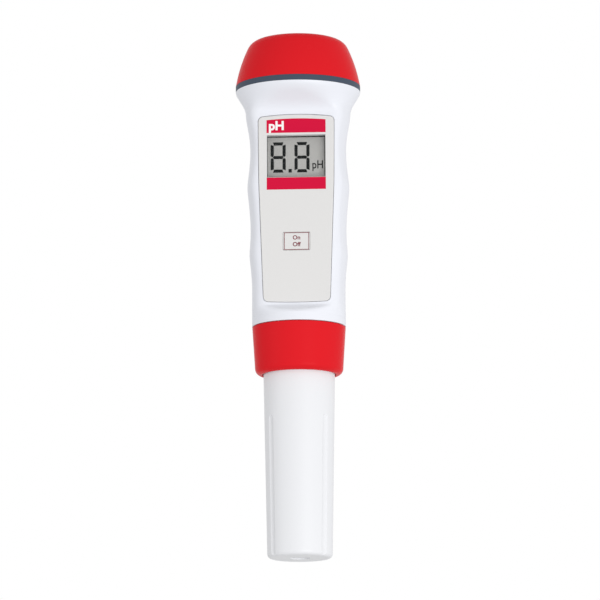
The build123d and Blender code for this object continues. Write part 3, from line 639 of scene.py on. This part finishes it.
def addThread(name, settings, form):
    # a trapezoid ridge along a helix, run out to nearly nothing at both ends
    stepsPerTurn = form["stepsPerTurn"]
    steps = int(settings["turns"] * stepsPerTurn)
    runOut = stepsPerTurn * form["runOut"]
    inner = settings["radius"] - form["sink"]
    vertices, faces = [], []
    for step in range(steps + 1):
        angle = 2 * math.pi * step / stepsPerTurn
        rise = settings["low"] + settings["lead"] * step / stepsPerTurn
        share = max(form["leastShare"], min(1.0, step / runOut, (steps - step) / runOut))
        outer = settings["radius"] + settings["depth"] * share
        for radius, offset in ((inner, -form["root"]), (outer, -form["crest"]),
                               (outer, form["crest"]), (inner, form["root"])):
            vertices.append((mm(radius * math.cos(angle)), mm(radius * math.sin(angle)), mm(rise + offset)))
    for step in range(steps):
        low = 4 * step
        for corner in range(4):
            after = (corner + 1) % 4
            faces.append((low + corner, low + corner + 4, low + after + 4, low + after))
    faces.append((0, 1, 2, 3))
    last = 4 * steps
    faces.append((last + 3, last + 2, last + 1, last))
    addPiece(name, vertices, faces, "whiteShell", "housing")


for name, settings in threads.items():
    addThread(name, settings, threadForm)
print("threads cut")


# Fittings of the board

boardBack = inMm(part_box("main_board")[1].y)
legs = {
    "width": 0.36, "thickness": 0.16, "reach": 1.1, "shoulder": 0.3, "foot": 0.55,
    "rootSink": 0.05,               # into the chip's side
    "footLift": 0.03,               # above the board, inside the solder
    "padHeight": 0.06,
    "padHeel": 0.15, "padToe": 0.3,  # how far the pad runs past the foot
    "padSkirt": (0.12, 0.02),       # how much wider than the leg, at its bottom and its top
}
chipLegs = {"controller_chip": 8, "amplifier_chip": 4}


def addLegs(chip, count, settings):
    # gull wing legs down both sides of a chip on the board's back, each with its solder pad
    low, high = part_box(chip)
    x0, x1 = inMm(low.x), inMm(high.x)
    z0, z1 = inMm(low.z), inMm(high.z)
    lift = (inMm(low.y) + inMm(high.y)) / 2 - boardBack
    pitch = (z1 - z0) / (count + 1)
    half, thick = settings["width"] / 2, settings["thickness"]
    heel = settings["reach"] - settings["foot"]
    path = [(-settings["rootSink"], lift), (settings["shoulder"], lift),
            (heel, settings["footLift"]), (settings["reach"], settings["footLift"])]
    bottomSkirt, topSkirt = settings["padSkirt"]
    padLayers = ((boardBack, bottomSkirt), (boardBack + settings["padHeight"], topSkirt))
    vertices, faces, padVertices, padFaces = [], [], [], []
    for side, edge in ((-1, x0), (1, x1)):
        for number in range(count):
            z = z0 + pitch * (number + 1)
            start = len(vertices)
            for along, above in path:
                for dz in (-half, half):
                    for dy in (0.0, thick):
                        vertices.append((mm(edge + side * along), mm(boardBack + above + dy), mm(z + dz)))
            for span in range(len(path) - 1):
                base = start + 4 * span
                for a, b in ((0, 1), (1, 3), (3, 2), (2, 0)):
                    faces.append((base + a, base + b, base + 4 + b, base + 4 + a))
            faces.append((start, start + 2, start + 3, start + 1))
            end = start + 4 * (len(path) - 1)
            faces.append((end, end + 1, end + 3, end + 2))
            near = edge + side * (heel - settings["padHeel"])
            far = edge + side * (settings["reach"] + settings["padToe"])
            base = len(padVertices)
            for y, skirt in padLayers:
                for x, dz in ((near, -1), (far, -1), (far, 1), (near, 1)):
                    padVertices.append((mm(x), mm(y), mm(z + dz * (half + skirt))))
            for a in range(4):
                b = (a + 1) % 4
                padFaces.append((base + a, base + b, base + 4 + b, base + 4 + a))
            padFaces.append((base + 4, base + 5, base + 6, base + 7))
    addPiece(chip + "Legs", vertices, faces, "steelPlate", "housing")
    addPiece(chip + "Pads", padVertices, padFaces, "solder", "housing")


for chip, count in chipLegs.items():
    addLegs(chip, count, legs)

passive = {
    "length": 1.6, "width": 0.8, "height": 0.5, "cap": 0.32, "bevel": 0.06, "standOff": 0.02,
    "slimmer": (0.06, 0.04),    # how much less high and wide the ceramic is than its caps
    "beside": 2.6, "spacing": 1.5, "perSide": 4,
}


def bevelledBlock(form, centre, size, bevel, slot):
    # adds a block with rounded edges to a bmesh, its faces on one material slot
    made = bmesh.ops.create_cube(form, size=1.0)
    for vertex in made["verts"]:
        vertex.co = Vector([mm(centre[axis] + vertex.co[axis] * size[axis]) for axis in range(3)])
    edges = list({edge for vertex in made["verts"] for edge in vertex.link_edges})
    faces = {face for vertex in made["verts"] for face in vertex.link_faces}
    for face in faces:
        face.material_index = slot
    bmesh.ops.bevel(form, geom=edges, offset=mm(bevel), segments=2, affect="EDGES", profile=0.5)


def addPassive(name, x, z, finish, settings):
    # a chip resistor or capacitor: a ceramic block between two metal end caps
    form = bmesh.new()
    length, width, height, cap = (settings[key] for key in ("length", "width", "height", "cap"))
    middle = boardBack + height / 2 + settings["standOff"]
    lessHigh, lessWide = settings["slimmer"]
    ceramic = (length - cap, height - lessHigh, width - lessWide)
    bevelledBlock(form, (x, middle, z), ceramic, settings["bevel"], 0)
    for end in (x - (length - cap) / 2, x + (length - cap) / 2):
        bevelledBlock(form, (end, middle, z), (cap, height, width), settings["bevel"], 1)
    mesh = bpy.data.meshes.new(name)
    form.to_mesh(mesh)
    form.free()
    mesh.materials.append(materials[finish])
    mesh.materials.append(materials["solder"])
    hangPiece(name, mesh, "housing")


def addPassives(settings):
    low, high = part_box("amplifier_chip")
    middle = middleInMm(low.z, high.z)
    half = inMm(high.x - low.x) / 2
    for label, side in (("Left", -1), ("Right", 1)):
        for number in range(settings["perSide"]):
            x = side * (half + settings["beside"])
            z = middle + (number - (settings["perSide"] - 1) / 2) * settings["spacing"]
            finish = "resistorGlaze" if number % 2 else "capacitorClay"
            addPassive("passive" + label + str(number + 1), x, z, finish, settings)


addPassives(passive)
print("board fitted")


# Floor, world and lamps

studio = {
    "floorColour": srgb(252, 252, 252),
    "floorSize": 1.6,
    "floorDrop": 0.02,             # mm below the pen
    "roomLight": 0.73,             # even light from all round
    "roomLean": (0.05, 0.0, -0.05),  # how much more comes from the right and from below
    "tableShade": 0.55,            # light from straight below, as a share of the room's
    "tableZone": (-0.9, -0.55),    # heights of the direction where the shade is full and gone
    "glossShare": 0.3,             # share of the white backdrop in what glossy surfaces mirror
}


def addFloor(settings):
    half = settings["floorSize"] / 2
    mesh = bpy.data.meshes.new("floor")
    mesh.from_pydata([(-half, -half, 0), (half, -half, 0), (half, half, 0), (-half, half, 0)], [],
                     [(0, 1, 2, 3)])
    floor = bpy.data.objects.new("floor", mesh)
    bpy.context.scene.collection.objects.link(floor)
    floor.location.z = -mm(settings["floorDrop"])
    material = bpy.data.materials.new("floorPaper")
    material.use_nodes = True
    tree = material.node_tree
    tree.nodes.clear()
    out = addNode(tree, "ShaderNodeOutputMaterial")
    paper = addNode(tree, "ShaderNodeBsdfDiffuse", None, {"Color": settings["floorColour"]})
    clear = addNode(tree, "ShaderNodeBsdfTransparent")
    path = addNode(tree, "ShaderNodeLightPath")
    # only the camera sees the paper, and only from above
    side = addNode(tree, "ShaderNodeNewGeometry")
    front = addNode(tree, "ShaderNodeMath", {"operation": "SUBTRACT"}, {0: 1.0})
    seen = addNode(tree, "ShaderNodeMath", {"operation": "MULTIPLY"})
    mix = addNode(tree, "ShaderNodeMixShader")
    tree.links.new(side.outputs["Backfacing"], front.inputs[1])
    tree.links.new(front.outputs[0], seen.inputs[0])
    tree.links.new(path.outputs["Is Camera Ray"], seen.inputs[1])
    tree.links.new(seen.outputs[0], mix.inputs["Fac"])
    tree.links.new(clear.outputs[0], mix.inputs[1])
    tree.links.new(paper.outputs[0], mix.inputs[2])
    tree.links.new(mix.outputs[0], out.inputs["Surface"])
    mesh.materials.append(material)


def setWorld(settings):
    world = bpy.data.worlds.new("studioWorld")
    bpy.context.scene.world = world
    world.use_nodes = True
    tree = world.node_tree
    tree.nodes.clear()
    links = tree.links
    out = addNode(tree, "ShaderNodeOutputWorld")
    place = addNode(tree, "ShaderNodeTexCoord")
    lean = addNode(tree, "ShaderNodeVectorMath", {"operation": "DOT_PRODUCT"}, {1: settings["roomLean"]})
    level = addNode(tree, "ShaderNodeMath", {"operation": "ADD"}, {1: settings["roomLight"]})
    links.new(place.outputs["Generated"], lean.inputs[0])
    links.new(lean.outputs["Value"], level.inputs[0])
    light = addNode(tree, "ShaderNodeBackground", None, {"Color": (1, 1, 1, 1)})
    height = addNode(tree, "ShaderNodeSeparateXYZ")
    shadeFull, shadeGone = settings["tableZone"]
    table = addNode(tree, "ShaderNodeMapRange", None, {
        "From Min": shadeFull, "From Max": shadeGone, "To Min": settings["tableShade"], "To Max": 1.0,
    })
    shaded = addNode(tree, "ShaderNodeMath", {"operation": "MULTIPLY"})
    links.new(place.outputs["Generated"], height.inputs[0])
    links.new(height.outputs["Z"], table.inputs["Value"])
    links.new(level.outputs[0], shaded.inputs[0])
    links.new(table.outputs[0], shaded.inputs[1])
    links.new(shaded.outputs[0], light.inputs["Strength"])
    white = addNode(tree, "ShaderNodeBackground", None, {"Color": (1, 1, 1, 1), "Strength": 1.0})
    # the camera and clear pieces see plain white, glossy surfaces a share of it
    path = addNode(tree, "ShaderNodeLightPath")
    gloss = addNode(tree, "ShaderNodeMath", {"operation": "MULTIPLY"}, {1: settings["glossShare"]})
    seen = addNode(tree, "ShaderNodeMath", {"operation": "MAXIMUM"})
    either = addNode(tree, "ShaderNodeMath", {"operation": "MAXIMUM"})
    links.new(path.outputs["Is Glossy Ray"], gloss.inputs[0])
    links.new(path.outputs["Is Camera Ray"], seen.inputs[0])
    links.new(gloss.outputs[0], seen.inputs[1])
    links.new(seen.outputs[0], either.inputs[0])
    links.new(path.outputs["Is Transmission Ray"], either.inputs[1])
    mix = addNode(tree, "ShaderNodeMixShader")
    links.new(either.outputs[0], mix.inputs["Fac"])
    links.new(light.outputs[0], mix.inputs[1])
    links.new(white.outputs[0], mix.inputs[2])
    links.new(mix.outputs[0], out.inputs["Surface"])


lampTarget = (0, 0, 0.09)
lamps = {
    # place and size in metres, power in watts
    "keyLamp": {"place": (0.43, -0.78, -0.24), "size": (0.55, 0.55), "power": 3.5},
    "fillLamp": {"place": (-0.8, -0.45, 0.1), "size": (0.5, 0.6), "power": 0.5},
}


def addLamps(settings, target):
    for name, lamp in settings.items():
        data = bpy.data.lights.new(name, "AREA")
        data.shape = "RECTANGLE"
        data.size, data.size_y = lamp["size"]
        data.energy = lamp["power"]
        holder = bpy.data.objects.new(name, data)
        bpy.context.scene.collection.objects.link(holder)
        holder.location = lamp["place"]
        away = Vector(lamp["place"]) - Vector(target)
        holder.rotation_mode = "QUATERNION"
        holder.rotation_quaternion = away.to_track_quat("Z", "Y")


addFloor(studio)
setWorld(studio)
addLamps(lamps, lampTarget)
bpy.context.scene.view_settings.view_transform = "Standard"
print("studio lit")
